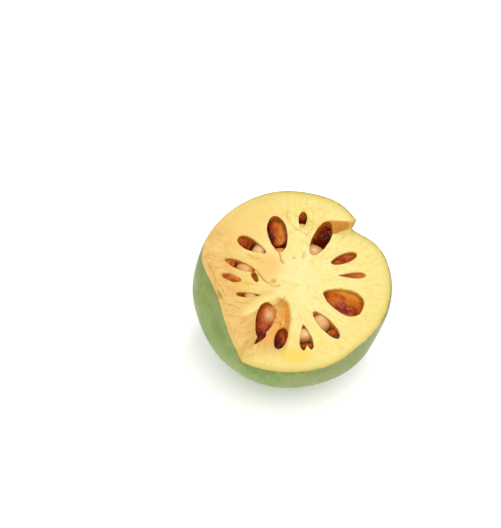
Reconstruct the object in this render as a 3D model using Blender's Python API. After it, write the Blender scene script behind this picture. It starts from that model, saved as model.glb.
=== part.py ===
"""Half of a wood apple: a woody rind full of pulp, cut and partly broken across its seed cells.

It rests on a small flat spot, tipped a little toward -Y. Lengths are millimetres here and become
metres in solid(). Shapes are worked out in the face frame: u and v lie in the plane of the cut, w is
the height over that plane and azimuths turn from u toward v. The fruit frame follows the stem's line.
"""
import math

import bmesh
import bpy
import numpy as np

MM = 0.001

FRUIT_RADIUS = 40.0
WALL = 2.2                  # thickness of the woody rind
GAP = 0.3                   # clearance between touching pieces
CUT_OFFSET = 8.0            # the cut passes this far over the fruit's middle
REST_RADIUS = 10.5          # flat spot under the fruit
FACE_LEAN = 17.5            # degrees between the face and the floor
STEM_LEAN = 28.0            # degrees between the stem's line and the vertical
LEAN_TOWARD = -80.0         # azimuth that both lean toward

SCAR_RADIUS = 4.0           # ringed scar where the stem sat
SCAR_RING = 0.45
SCAR_DISH = 0.9

# Flattened or fuller places on the skin: azimuth, elevation, depth, spread in degrees
SHOULDERS = [(200, 24, 5.6, 25), (38, 12, 1.2, 22), (-48, 8, 1.6, 16), (-26, -6, 1.3, 15), (-75, -24, 0.9, 22),
             (80, 20, 0.6, 14), (180, -8, -0.7, 14)]

# The crack's middle line over the face, with the half width of its wall at both ends
CRACK_INNER, CRACK_OUTER = (15.1, 23.2), (22.85, 24.45)
CRACK_HALF = (2.0, 0.45)
CRACK_RISE, CRACK_DROP = 4.0, 0.9
CRACK_COLUMN = 47.7         # azimuth about the stem's line where the crack leaves through the skin
CRACK_SWING = 9.0           # degrees that the crack turns on its way in from the rind
CRACK_DENT = (4.6, 15.0)    # how far the skin is pushed in before the crack, and its spread in degrees
CRACK_TIP = (1.2, 10.0)     # the same past the crack, under the lip's tip
CRACK_EDGE = (0.9, 5.0)     # half width of that step, in degrees, at the skin and inside the rind
CRACK_SHIFT = 2.0           # degrees by which the step lies further on inside the rind

# Height of the broken rim over the cut by azimuth, down to the sharp corner where the clean cut starts
RIM_LEVELS = [(150, 0), (160, 0.2), (168, 2.1), (175, 4.1), (183, 5.8), (192, 6.8), (200, 7.1), (206, 6.3),
              (216, 5.6), (227, 3.8), (234, 1.2), (239, -2.8), (245, -2.0), (256, -0.3), (270, 0.8), (284, 1.2),
              (300, 0.5), (315, 0)]
CORNER_COLUMN = 237.6       # azimuth of that corner about the stem's line

# Hollow torn out of the lower left: its right border as (v, u) and its upper border as (u, v)
BASIN_DEPTH = 3.2
BASIN_RIGHT = [(-31, -3.4), (-24, -2.4), (-16, -1.2), (-9, -2.0), (-5, -6.0)]
BASIN_TOP = [(-26, -13.5), (-12, -9.5), (-6, -6.5), (-1, -7.5)]

# Seed cells: u, v, length, width, direction of the outer end, depth, taper of the inner end (less than 0
# where the inner end is the wider one)
CELLS = {
    "01": (3.5, 25.9, 6.6, 3.6, 84, 5.0, 0.2),
    "02": (10.8, 18.5, 14.8, 7.4, 62, 9.0, 0.2),
    "03": (20.1, 10.6, 11.0, 4.8, 23, 6.0, 0.3),
    "04": (23.4, 3.4, 10.9, 3.7, 2, 3.6, 0.8),
    "05": (20.0, -7.6, 17.0, 13.6, -24, 8.5, 0.5),
    "06": (13.0, -18.1, 14.8, 5.4, -48, 6.5, 0.2),
    "07": (4.9, -24.2, 11.8, 7.4, -81, 6.5, 0.7),
    "08": (-4.8, -23.5, 9.8, 5.0, -104, 6.5, 0.0),
    "09": (-11.4, -15.8, 14.6, 4.6, -110, 7.5, -1.1),
    "10": (-18.0, -6.2, 10.0, 3.0, -178, 4.0, 0.7),
    "11": (-24.7, 0.5, 8.0, 3.6, 171, 4.5, 0.2),
    "12": (-21.3, 6.4, 13.0, 3.8, 160, 5.0, 0.1),
    "13": (-16.6, 15.2, 12.8, 6.8, 152, 7.0, 0.6),
    "14": (-6.4, 20.1, 15.0, 8.5, 102, 9.0, 0.2),
    "15": (-15.4, 1.7, 4.6, 2.4, 114, 4.0, 0.2),
}
RAGGED_ENDS = {"07": (0, 3.0), "06": (-75, 0.5)}        # azimuth in the cell and depth of a torn notch
TORN_TAIL = (-13.0, -23.3, 6.6, 0.8, -130, 2.6, -3.0)   # slit that runs on from the ninth cell

# What lies in a cell: cell, span along it and across it as shares of its half sizes, top under the cut
GUM = {
    "gum_01": ("01", (-0.05, 1.25), (-1.25, 1.25), -1.0),
    "gum_02": ("02", (-0.06, 1.25), (-1.25, 1.25), -2.2),
    "gum_03": ("03", (-1.2, 1.2), (-1.25, 1.1), -0.8),
    "gum_04": ("04", (-0.8, 1.2), (-1.2, 1.2), -0.5),
    "gum_05": ("05", (-1.2, 1.15), (-1.2, 1.0), -0.6),
    "gum_06": ("06", (0.2, 1.2), (-1.2, 1.2), -0.7),
    "gum_07": ("07", (0.1, 1.15), (-1.2, 1.2), -1.0),
    "gum_08": ("08", (-1.45, 1.2), (-1.3, 1.2), -1.0),
    "gum_09": ("09", (-1.15, 1.05), (-2.0, 2.0), 0.8),
    "gum_10": ("10", (0.4, 1.2), (-1.2, 1.2), -0.4),
    "gum_11": ("11", (-1.2, 1.2), (-1.2, 1.1), -0.5),
    "gum_12": ("12", (0.3, 1.2), (-1.2, 1.2), -0.5),
    "gum_13": ("13", (0.02, 1.2), (-1.2, 1.2), -1.0),
    "gum_14": ("14", (-0.5, 1.25), (-1.2, 1.25), -1.8),
    "gum_15": ("15", (-1.2, 0.6), (-1.2, 1.2), -0.8),
}
SEEDS = {
    "seed_01": ("01", (-1.2, -0.16), (-1.2, 1.2), -1.2),
    "seed_02": ("02", (-1.25, -0.11), (-1.25, 1.25), -1.6),
    "seed_06": ("06", (-0.9, 0.15), (-1.25, 1.2), -0.6),
    "seed_07": ("07", (-1.0, 0.04), (-1.2, 1.2), -0.9),
    "seed_10": ("10", (-0.7, 0.34), (-1.2, 1.2), -0.4),
    "seed_12": ("12", (-0.9, 0.24), (-1.2, 1.2), -0.4),
    "seed_13": ("13", (-1.0, -0.03), (-1.2, 1.1), -0.9),
    "seed_14": ("14", (-1.1, -0.55), (-0.8, 1.1), -1.4),
}

COLUMNS = 75
NEAR_CRACK = (-0.9, 0.9, 2.9, 5.1, 7.7)     # columns set closer past the crack, from CRACK_COLUMN
BOWL = np.array([0.11, 0.23, 0.35, 0.46, 0.57, 0.67, 0.76, 0.84, 0.9, 0.95])


def smooth(low, high, x):
    t = np.clip((x - low) / (high - low), 0.0, 1.0)
    return t * t * (3.0 - 2.0 * t)


def full(x):
    """Share of a half size that makes an outline a little fuller than an ellipse."""
    return np.sign(x) * np.abs(x) ** 0.82


def leaned(degrees):
    """Rotation that leans the upright axis toward LEAN_TOWARD; its columns are the frame's axes."""
    a, t = math.radians(degrees), math.radians(LEAN_TOWARD)
    k = np.array([-math.sin(t), math.cos(t), 0.0])
    cross = np.array([[0, -k[2], k[1]], [k[2], 0, -k[0]], [-k[1], k[0], 0]])
    return np.eye(3) + math.sin(a) * cross + (1 - math.cos(a)) * cross @ cross


FACE = leaned(FACE_LEAN)
FRUIT = leaned(STEM_LEAN)
CENTRE = np.array([0.0, 0.0, math.sqrt(FRUIT_RADIUS ** 2 - REST_RADIUS ** 2)])


def skin_radius(direction):
    """Distance from the fruit's middle to its skin, for unit directions in the face frame."""
    radius = np.full(len(direction), FRUIT_RADIUS)
    for azimuth, elevation, depth, spread in SHOULDERS:
        a, e = math.radians(azimuth), math.radians(elevation)
        middle = np.array([math.cos(a) * math.cos(e), math.sin(a) * math.cos(e), math.sin(e)])
        away = np.degrees(np.arccos(np.clip(direction @ middle, -1.0, 1.0)))
        radius -= depth * np.exp(-(away / spread) ** 2)
    return radius


def scar(polar):
    """Rise of the skin round the stem's scar: a low ring with a dished middle."""
    away = FRUIT_RADIUS * polar / SCAR_RADIUS
    return SCAR_RING * np.exp(-((away - 1.0) / 0.25) ** 2) - SCAR_DISH * (1 - smooth(0.2, 0.85, away))


def crack_dent(azimuth, elevation, inset):
    """How far the skin is pushed in beside the crack; it steps back out under the lip's tip."""
    away = (np.degrees(azimuth) - CRACK_COLUMN + 180.0) % 360.0 - 180.0
    inside = min(inset / WALL, 1.0)
    edge = CRACK_EDGE[0] + (CRACK_EDGE[1] - CRACK_EDGE[0]) * inside
    before, past = (depth * np.exp(-(away / spread) ** 2) for depth, spread in (CRACK_DENT, CRACK_TIP))
    step = smooth(-edge, edge, away - CRACK_SHIFT * inside)
    return (before + (past - before) * step) * smooth(-45.0, -8.0, elevation)


def skin(azimuth, polar, inset=0.0):
    """Points from the fruit's middle to its skin, polar angles counted from the stem's end."""
    d = np.stack([np.sin(polar) * np.cos(azimuth), np.sin(polar) * np.sin(azimuth), -np.cos(polar)], -1)
    d = d @ FRUIT.T
    face = d @ FACE
    radius = skin_radius(face) - crack_dent(azimuth, np.degrees(np.arcsin(face[:, 2])), inset) - inset
    if inset == 0.0:
        radius = radius + scar(polar)
    return d * radius[:, None]


def cut_height(u, v):
    """Height of the cut and broken face over the plane of the cut."""
    radius = np.hypot(u, v)
    azimuth = np.degrees(np.arctan2(v, u)) % 360.0
    lip = np.interp(azimuth, *zip(*RIM_LEVELS)) * smooth(19.0, 38.0, radius)

    length = math.dist(CRACK_INNER, CRACK_OUTER)
    au, av = (CRACK_OUTER[0] - CRACK_INNER[0]) / length, (CRACK_OUTER[1] - CRACK_INNER[1]) / length
    du, dv = u - CRACK_INNER[0], v - CRACK_INNER[1]
    along, side = du * au + dv * av, dv * au - du * av
    half = CRACK_HALF[0] + (CRACK_HALF[1] - CRACK_HALF[0]) * np.clip(along / length, 0, 1)
    half = half + 5.0 * (1 - smooth(-9.0, -1.0, along))
    above = smooth(-1.0, 1.0, side / half)
    crack = CRACK_RISE * smooth(8.0, 33.0, radius) * above * (1 - smooth(56, 150, azimuth)) * (azimuth < 180)
    crack -= CRACK_DROP * (1 - above) * smooth(-5.0, 4.0, along) * np.exp(-(side / 7.0) ** 2)

    inside = 1 - smooth(-2.4, 1.2, u - np.interp(v, *zip(*BASIN_RIGHT)))
    inside *= (1 - smooth(-3.0, 1.0, v - np.interp(u, *zip(*BASIN_TOP)))) * smooth(-34.0, -25.0, v)
    basin = -BASIN_DEPTH * inside * np.exp(-(np.minimum(u + 8.0, 0.0) / 8.0) ** 2)
    return lip + crack + basin


def rim(azimuth, inset):
    """Polar angles and points where the skin, moved inward by inset, meets the face."""
    low, high = np.full(len(azimuth), 0.9), np.full(len(azimuth), 2.6)
    for _ in range(36):
        middle = (low + high) / 2
        face = skin(azimuth, middle, inset) @ FACE
        below = face[:, 2] - CUT_OFFSET < cut_height(face[:, 0], face[:, 1])
        low, high = np.where(below, middle, low), np.where(below, high, middle)
    middle = (low + high) / 2
    return middle, skin(azimuth, middle, inset)


def columns():
    """Azimuths about the stem's line, closer together at the crack and with one through the corner."""
    near = CRACK_COLUMN + np.array(NEAR_CRACK)
    half = (COLUMNS - len(near)) // 2
    spread = (np.linspace(near[-1], CORNER_COLUMN, half + 3)[1:-1],
              np.linspace(CORNER_COLUMN, near[0] + 360.0, half)[:-1])
    return np.radians(np.concatenate([near, *spread]))


def from_face(u, v, w):
    """Points from the fruit's middle for places in the face frame."""
    return np.stack(np.broadcast_arrays(u, v, w + CUT_OFFSET), -1) @ FACE.T


def face_rings(rim_points, shares):
    """Loops over the face from the rim inward; their columns swing to follow the crack."""
    face = rim_points @ FACE
    reach = np.hypot(face[:, 0], face[:, 1])
    start = np.degrees(np.arctan2(face[:, 1], face[:, 0]))
    rings = [rim_points]
    for share in shares:
        radius = reach * share
        swing = CRACK_SWING * np.exp(-((start - 49.0) / 28.0) ** 2) * (1 - smooth(26.0, 32.0, radius))
        turned = np.radians(start + swing)
        u, v = radius * np.cos(turned), radius * np.sin(turned)
        rings.append(from_face(u, v, cut_height(u, v)))
    return rings


def bowl_rings(azimuth, top, inset, polars, floor):
    """Loops of the bowl from just over its pole up to the rim, none lower than floor."""
    rings = []
    for share in polars:
        points = skin(azimuth, top * share, inset)
        points[:, 2] = np.maximum(points[:, 2], floor - CENTRE[2])
        rings.append(points)
    return rings


def material(name, colour, roughness, coat=0.0):
    made = bpy.data.materials.new(name)
    made.use_nodes = True
    shader = made.node_tree.nodes["Principled BSDF"]
    shader.inputs["Base Color"].default_value = (*colour, 1.0)
    shader.inputs["Roughness"].default_value = roughness
    shader.inputs["Coat Weight"].default_value = coat
    made.diffuse_color = (*colour, 1.0)
    return made


def solid(name, first, loops, last, look=None):
    """Closed body from a first point, equal loops and a last point, all measured from the middle."""
    bm = bmesh.new()
    rows = [[bm.verts.new((p + CENTRE) * MM) for p in loop] for loop in loops]
    poles = [bm.verts.new((p + CENTRE) * MM) for p in (first, last)]
    count = len(rows[0])
    for j in range(count):
        k = (j + 1) % count
        bm.faces.new((poles[0], rows[0][k], rows[0][j]))
        bm.faces.new((poles[1], rows[-1][j], rows[-1][k]))
        for lower, upper in zip(rows, rows[1:]):
            bm.faces.new((lower[j], lower[k], upper[k], upper[j]))
    bmesh.ops.recalc_face_normals(bm, faces=bm.faces)
    for face in bm.faces:
        face.smooth = True
    mesh = bpy.data.meshes.new(name)
    bm.to_mesh(mesh)
    bm.free()
    made = bpy.data.objects.new(name, mesh)
    bpy.context.collection.objects.link(made)
    if look:
        mesh.materials.append(look)
    else:
        made.hide_render = True
        made.display_type = "WIRE"
    return made


def level_the_foot(body):
    """Cut the flat spot on which the fruit rests."""
    bm = bmesh.new()
    bm.from_mesh(body.data)
    cut = bmesh.ops.bisect_plane(bm, geom=bm.verts[:] + bm.edges[:] + bm.faces[:], dist=1e-6,
                                 plane_co=(0, 0, 0), plane_no=(0, 0, -1), clear_outer=True)
    edges = [e for e in cut["geom_cut"] if isinstance(e, bmesh.types.BMEdge)]
    spot = bmesh.ops.edgeloop_fill(bm, edges=edges)["faces"]
    bmesh.ops.recalc_face_normals(bm, faces=bm.faces)
    for face in spot:
        face.smooth = False
    bm.to_mesh(body.data)
    bm.free()


def combine(body, operation, tool):
    cut = body.modifiers.new(tool.name, "BOOLEAN")
    cut.operation = operation
    cut.solver = "EXACT"
    cut.object = tool


def cell_points(cell, x, y, z):
    """Place points of a cell's own frame: x toward its outer end, z over the local cut."""
    u, v, _, _, turn = cell[:5]
    t = math.radians(turn)
    level = cut_height(np.array([u]), np.array([v]))[0]
    return from_face(u + x * math.cos(t) - y * math.sin(t), v + x * math.sin(t) + y * math.cos(t), level + z)


def hollow(name, cell, ragged=(0, 0.0), inset=0.0, sides=18, over=9.0):
    """Body of the room in a seed cell, or of that room less a clearance all round."""
    length, width, _, depth, taper = cell[2:]
    a, depth = length / 2 - inset, depth - inset
    theta = np.arange(sides) * 2 * math.pi / sides
    notch = np.degrees(np.abs((theta - math.radians(ragged[0]) + math.pi) % (2 * math.pi) - math.pi))
    bite = 1 - ragged[1] / a * np.exp(-(notch / 16.0) ** 2)
    tapered = 1 - taper * 0.5 * (1 - np.cos(theta))
    across = width / 2 * tapered - inset * np.minimum(tapered, 1)
    loops = []
    for z in (-0.94, -0.8, -0.6, -0.35, 0.1, over / depth):
        wide = (1 - max(-z, 0.0) ** 2.4) ** 0.5
        x = a * wide * np.cos(theta) * bite
        y = across * wide * np.sin(theta) * bite
        loops.append(cell_points(cell, x, y, z * depth))
    first, last = (cell_points(cell, 0.0, 0.0, z) for z in (-depth, over))
    return solid(name, first, loops, last)


def lump(name, number, along, across, top, look, sides=16):
    """Rounded mass that fills the given part of a cell and keeps clear of its walls."""
    cell = CELLS[number]
    length, width, _, depth = cell[2:6]
    x0, x1 = (share * length / 2 for share in along)
    y0, y1 = (share * width / 2 for share in across)
    bottom = -1.25 * depth
    theta = np.arange(sides) * 2 * math.pi / sides
    loops = []
    for lift in np.radians((-50, -15, 15, 38, 56, 70, 81)):
        x = (x0 + x1) / 2 + (x1 - x0) / 2 * math.cos(lift) ** 0.85 * full(np.cos(theta))
        y = (y0 + y1) / 2 + (y1 - y0) / 2 * math.cos(lift) ** 0.85 * full(np.sin(theta))
        loops.append(cell_points(cell, x, y, (top + bottom) / 2 + (top - bottom) / 2 * math.sin(lift)))
    first, last = (cell_points(cell, (x0 + x1) / 2, (y0 + y1) / 2, z) for z in (bottom, top))
    body = solid(name, first, loops, last, look)
    angle, torn = RAGGED_ENDS.get(number, (0, 0.0))
    room = hollow("room_" + name, cell, (angle, torn * 1.4), GAP + 0.14)
    combine(body, "INTERSECT", room)
    return body


def rind(look):
    azimuth = columns()
    outer_polar, outer_rim = rim(azimuth, 0.0)
    inner_polar, inner_rim = rim(azimuth, WALL)
    loops = [skin(azimuth, np.full(COLUMNS, math.radians(p))) for p in (1.6, 3.2, 4.4, 5.2, 6.0, 7.2, 9.0)]
    start = math.radians(9.0)
    for share in np.linspace(0, 1, 17)[1:-1]:
        loops.append(skin(azimuth, start + (outer_polar - start) * share))
    loops += [outer_rim, inner_rim]
    loops += bowl_rings(azimuth, inner_polar, WALL, BOWL[::-1], WALL - 0.8)
    pole = np.zeros(1)
    first, last = skin(pole, pole)[0], skin(pole, pole, WALL)[0]
    body = solid("rind", first, loops, last, look)
    level_the_foot(body)
    return body


def pulp(look):
    azimuth = columns()
    inset = WALL + GAP
    polar, edge = rim(azimuth, inset)
    loops = bowl_rings(azimuth, polar, inset, BOWL, WALL - 0.8 + GAP)
    shares = (0.97, 0.93, 0.88, 0.83, 0.77, 0.7, 0.62, 0.54, 0.46, 0.38, 0.3, 0.22, 0.14, 0.07)
    loops += face_rings(edge, shares)
    pole = np.zeros(1)
    last = from_face(0.0, 0.0, cut_height(pole, pole)[0])
    body = solid("pulp", skin(pole, pole, inset)[0], loops, last, look)
    for number, cell in CELLS.items():
        combine(body, "DIFFERENCE", hollow("cell_" + number, cell, RAGGED_ENDS.get(number, (0, 0.0))))
    combine(body, "DIFFERENCE", hollow("torn_tail", TORN_TAIL))
    return body


def main():
    for old in list(bpy.data.objects):
        bpy.data.objects.remove(old)
    rind(material("rind", (0.24, 0.36, 0.10), 0.5))
    pulp(material("pulp", (0.90, 0.74, 0.34), 0.55))
    amber = material("gum", (0.36, 0.09, 0.02), 0.15, 1.0)
    for name, (number, along, across, top) in GUM.items():
        lump(name, number, along, across, top, amber)
    pale = material("seed", (0.78, 0.55, 0.36), 0.4)
    for name, (number, along, across, top) in SEEDS.items():
        lump(name, number, along, across, top, pale, 12)


main()
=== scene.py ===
"""Looks of the half wood apple: finer rind, pulp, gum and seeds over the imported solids."""
import math

import bmesh
import bpy
import numpy as np
from mathutils import Matrix, Vector, noise


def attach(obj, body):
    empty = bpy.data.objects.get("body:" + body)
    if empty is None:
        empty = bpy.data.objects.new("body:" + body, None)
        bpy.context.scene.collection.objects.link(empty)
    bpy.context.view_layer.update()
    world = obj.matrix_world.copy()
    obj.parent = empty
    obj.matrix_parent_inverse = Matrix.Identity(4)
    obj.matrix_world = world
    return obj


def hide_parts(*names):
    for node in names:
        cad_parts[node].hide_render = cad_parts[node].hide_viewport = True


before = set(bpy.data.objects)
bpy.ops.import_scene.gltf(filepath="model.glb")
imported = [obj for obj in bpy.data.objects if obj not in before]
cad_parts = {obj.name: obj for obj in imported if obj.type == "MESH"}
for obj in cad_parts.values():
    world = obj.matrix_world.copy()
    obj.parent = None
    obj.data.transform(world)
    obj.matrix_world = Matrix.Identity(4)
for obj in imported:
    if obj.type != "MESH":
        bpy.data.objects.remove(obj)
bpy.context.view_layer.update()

MM = 0.001

# The solids' own form, in millimetres, worked out in the face frame: u and v in the plane of the cut
FRUIT_RADIUS = 40.0
WALL = 2.2
FLAT_WALL = WALL - 0.8      # over the flat resting spot
CUT_OFFSET = 8.0            # from the fruit's middle up to the plane of the cut
REST_RADIUS = 10.5
FACE_LEAN, STEM_LEAN, LEAN_TOWARD = 17.5, 28.0, -80.0
SCAR_RADIUS, SCAR_RING, SCAR_DISH = 4.0, 0.45, 0.9

# Flattened or fuller places on the skin: azimuth, elevation, depth, spread in degrees
SHOULDERS = [(200, 24, 5.6, 25), (38, 12, 1.2, 22), (-48, 8, 1.6, 16), (-26, -6, 1.3, 15),
             (-75, -24, 0.9, 22), (80, 20, 0.6, 14), (180, -8, -0.7, 14)]

# The crack's middle line over the face, with the half width of its wall at both ends
CRACK_INNER, CRACK_OUTER = (15.1, 23.2), (22.85, 24.45)
CRACK_HALF = (2.0, 0.45)
CRACK_RISE, CRACK_DROP = 4.0, 0.9
CRACK_COLUMN = 47.7         # azimuth about the stem's line where the crack leaves through the skin
CRACK_SWING = 9.0           # degrees that the crack turns on its way in from the rind
CRACK_DENT = (4.6, 15.0)    # how far the skin is pushed in before the crack, and its spread in degrees
CRACK_TIP = (1.2, 10.0)     # the same past the crack, under the lip's tip
CRACK_EDGE = (0.9, 5.0)     # half width of that step, in degrees, at the skin and inside the rind
CRACK_SHIFT = 2.0           # degrees by which the step lies further on inside the rind

# Height of the broken rim over the cut by azimuth, down to the sharp corner where the clean cut starts
RIM_LEVELS = [(150, 0), (160, 0.2), (168, 2.1), (175, 4.1), (183, 5.8), (192, 6.8), (200, 7.1), (206, 6.3),
              (216, 5.6), (227, 3.8), (234, 1.2), (239, -2.8), (245, -2.0), (256, -0.3), (270, 0.8),
              (284, 1.2), (300, 0.5), (315, 0)]
CORNER_COLUMN = 237.6       # azimuth of that corner about the stem's line
TORN_END = (236, 240)       # azimuths on the face over which the torn side ends at that corner

# Hollow torn out of the lower left: its right border as (v, u) and its upper border as (u, v)
BASIN_DEPTH = 3.2
BASIN_RIGHT = [(-31, -3.4), (-24, -2.4), (-16, -1.2), (-9, -2.0), (-5, -6.0)]
BASIN_TOP = [(-26, -13.5), (-12, -9.5), (-6, -6.5), (-1, -7.5)]

# Middles of the sunk patch of pulp beside the longest fine crack and of its colour, and the soft pith
SUNK_AT, PEACH_AT = (-10.5, 6.5), (-10.8, 6.5)
PITH_RADIUS = 5.0

# Seed cells: u, v, length, width, direction of the outer end, depth, taper of the inner end (less than 0
# where the inner end is the wider one)
CELLS = {
    "01": (3.5, 25.9, 6.6, 3.6, 84, 5.0, 0.2),
    "02": (10.8, 18.5, 14.8, 7.4, 62, 9.0, 0.2),
    "03": (20.1, 10.6, 11.0, 4.8, 23, 6.0, 0.3),
    "04": (23.4, 3.4, 10.9, 3.7, 2, 3.6, 0.8),
    "05": (20.0, -7.6, 17.0, 13.6, -24, 8.5, 0.5),
    "06": (13.0, -18.1, 14.8, 5.4, -48, 6.5, 0.2),
    "07": (4.9, -24.2, 11.8, 7.4, -81, 6.5, 0.7),
    "08": (-4.8, -23.5, 9.8, 5.0, -104, 6.5, 0.0),
    "09": (-11.4, -15.8, 14.6, 4.6, -110, 7.5, -1.1),
    "10": (-18.0, -6.2, 10.0, 3.0, -178, 4.0, 0.7),
    "11": (-24.7, 0.5, 8.0, 3.6, 171, 4.5, 0.2),
    "12": (-21.3, 6.4, 13.0, 3.8, 160, 5.0, 0.1),
    "13": (-16.6, 15.2, 12.8, 6.8, 152, 7.0, 0.6),
    "14": (-6.4, 20.1, 15.0, 8.5, 102, 9.0, 0.2),
    "15": (-15.4, 1.7, 4.6, 2.4, 114, 4.0, 0.2),
}
RAGGED_ENDS = {"07": (0, 3.0), "06": (-75, 0.5)}        # azimuth in the cell and depth of a torn notch
WHOLE_END = (0, 0.0)
TORN_TAIL = (-13.0, -23.3, 6.6, 0.8, -130, 2.6, -3.0)   # slit that runs on from the ninth cell

# What lies in the cell that a name ends with: its span along and across as shares of the cell's half
# sizes, where WIDE reaches into both walls, and its top over the cut
WIDE = (-1.2, 1.2)
GUM = {
    "gum_01": ((-0.05, 1.25), (-1.25, 1.25), -1.0),
    "gum_02": ((-0.06, 1.25), (-1.25, 1.25), -2.2),
    "gum_03": ((-1.2, 1.2), (-1.25, 1.1), -0.8),
    "gum_04": ((-0.8, 1.2), WIDE, -0.5),
    "gum_05": ((-1.2, 1.15), (-1.2, 1.0), -0.6),
    "gum_06": ((0.2, 1.2), WIDE, -0.7),
    "gum_07": ((0.1, 1.15), WIDE, -1.0),
    "gum_08": ((-1.45, 1.2), (-1.3, 1.2), -1.0),
    "gum_09": ((-1.15, 1.05), (-2.0, 2.0), 0.8),
    "gum_10": ((0.4, 1.2), WIDE, -0.4),
    "gum_11": ((-1.2, 1.2), (-1.2, 1.1), -0.5),
    "gum_12": ((0.3, 1.2), WIDE, -0.5),
    "gum_13": ((0.02, 1.2), WIDE, -1.0),
    "gum_14": ((-0.5, 1.25), (-1.2, 1.25), -1.8),
    "gum_15": ((-1.2, 0.6), WIDE, -0.8),
}
SEEDS = {
    "seed_01": ((-1.2, -0.16), WIDE, -1.2),
    "seed_02": ((-1.25, -0.11), (-1.25, 1.25), -1.6),
    "seed_06": ((-0.9, 0.15), (-1.25, 1.2), -0.6),
    "seed_07": ((-1.0, 0.04), WIDE, -0.9),
    "seed_10": ((-0.7, 0.34), WIDE, -0.4),
    "seed_12": ((-0.9, 0.24), WIDE, -0.4),
    "seed_13": ((-1.0, -0.03), (-1.2, 1.1), -0.9),
    "seed_14": ((-1.1, -0.55), (-0.8, 1.1), -1.4),
}
# Colour of each gum, from 0 for dark maroon to 1 for clear orange, with how much lighter it gets toward
# one side and the direction of that side on the face in degrees; that lighter side is painted light
TONES_AND_LIT_SIDES = {
    "gum_01": (0.32, 0.2, 90), "gum_02": (0.16, 0.55, 140), "gum_03": (0.42, 0.15, 90),
    "gum_04": (0.75, 0.2, 30), "gum_05": (0.42, 0.2, 70), "gum_06": (0.3, 0.25, 120),
    "gum_07": (0.3, 0.15, 90), "gum_08": (0.34, 0.35, 20), "gum_09": (0.5, 0.4, 60),
    "gum_10": (0.5, 0.2, 90), "gum_11": (0.65, 0.2, 90), "gum_12": (0.6, 0.2, 130),
    "gum_13": (0.4, 0.25, 60), "gum_14": (0.5, 0.95, 12), "gum_15": (0.3, 0.2, 100),
}
LIT_LEDGE_GUM, HIGHLIGHTED_GUM = "gum_05", "gum_09"        # the gum with a pale ledge, painted lighter where it faces the light, and the gum with a painted highlight on it
# How far gum has stained the walls of a cell, and how much gum lies over a seed
STAINED = {"01": 0.6, "02": 0.6, "08": 0.85, "09": 0.8, "10": 0.4, "12": 0.3, "13": 0.6, "14": 0.75}
COATED = {"seed_02": 0.2, "seed_10": 0.15, "seed_12": 0.3, "seed_14": 0.85}
# Depth of the folds in a gum's top, and how uneven the masses are as a share of their size
FACETS = {"gum_02": 1.2, "gum_05": 1.2, "gum_09": 0.15, "gum_14": 1.4}
PLAIN_FACETS = 0.7
GUM_SWELL, SEED_SWELL = 0.07, 0.03

# Fine cracks over the face, as points of their lines, with their depths and half widths
FINE_CRACKS = [
    ([(-15.3, 5.8), (-14.2, 3.7), (-12.8, 1.7), (-11.1, -0.2), (-9.7, -0.8), (-8.0, 0.5)], 0.7, 0.18),
    ([(-8.4, 14.5), (-6.7, 13.3), (-5.3, 11.0), (-4.6, 8.5), (-4.1, 6.9)], 0.6, 0.15),
    ([(4.5, 13.7), (4.1, 11.5), (3.4, 9.4)], 0.3, 0.08),
    ([(0.0, 11.1), (0.6, 9.6)], 0.3, 0.08),
    ([(-2.0, 30.0), (-3.4, 28.4), (-2.2, 25.7)], 0.3, 0.08),
    ([(-20.0, 11.2), (-16.3, 9.9), (-12.5, 9.0)], 0.3, 0.07),
    ([(-10.3, -1.0), (-7.5, -2.4), (-4.7, -1.4)], 0.35, 0.09),
    ([(-5.6, -8.6), (-4.1, -7.5), (-3.0, -6.6)], 0.3, 0.14),
    ([(-34.2, 7.5), (-33.6, 3.4), (-31.4, -1.2), (-28.6, -5.2), (-27.2, -9.6)], 0.35, 0.2),
    ([(-24.6, -10.6), (-21.4, -10.2), (-17.4, -9.0)], 0.3, 0.1),
    ([(-29.5, -12.6), (-24.5, -11.6), (-20.0, -12.8)], 0.4, 0.1),
    ([(-29.3, -17.0), (-25.0, -16.2), (-22.0, -16.9)], 0.3, 0.08),
    ([(-20.5, -35.0), (-18.9, -32.5), (-16.7, -30.7), (-14.5, -28.9)], 0.3, 0.1),
    ([(-6.7, -10.4), (-6.5, -11.3), (-6.6, -12.2)], 0.4, 0.3),
    ([(-6.4, -13.8), (-6.5, -14.6), (-6.3, -15.4)], 0.4, 0.3),
    ([(-7.9, -17.3), (-7.0, -16.3), (-5.7, -16.1), (-4.9, -17.1), (-4.5, -18.6)], 0.4, 0.26),
]
# Greenish yellow veins in the face, as points of their lines
VEINS = [
    [(-3.5, 30.2), (-2.0, 26.1), (-0.5, 23.7), (1.4, 22.1), (5.4, 20.1), (7.7, 22.5), (7.9, 24.0)],
    [(-25.2, -1.6), (-18.2, -1.6), (-12.5, -0.6)],
    [(-24.0, -4.0), (-18.2, -4.0), (-13.7, -4.1)],
    [(-20.0, 9.8), (-17.2, 9.4), (-13.8, 8.5), (-10.3, 6.8)],
]
# Lower edge of the flap of pulp that stands over the torn hollow, and the middle of the tan tongue in it
FLAP = [(-30.0, -17.4), (-23.0, -16.5), (-19.2, -15.2), (-16.0, -13.3), (-14.2, -11.9), (-12.8, -10.4),
        (-10.4, -9.7), (-7.8, -9.1), (-5.2, -8.2), (-3.4, -7.0)]
TONGUE = [(-11.2, -26.4), (-9.8, -22.9), (-8.3, -19.6), (-7.0, -17.0)]


def smooth(low, high, x):
    """Soft step from 0 at low to 1 at high; low may be the larger one."""
    t = np.clip((x - low) / (high - low), 0.0, 1.0)
    return t * t * (3.0 - 2.0 * t)


def bell(x):
    """1 at 0, falling off to both sides."""
    return np.exp(-x ** 2)


def full(x):
    """Sines and cosines pushed outward, for a form a little fuller than an ellipse."""
    return np.sign(x) * np.abs(x) ** 0.82


def follow(line, x):
    """Height at x of a line given by its points."""
    return np.interp(x, *zip(*line))


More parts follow.
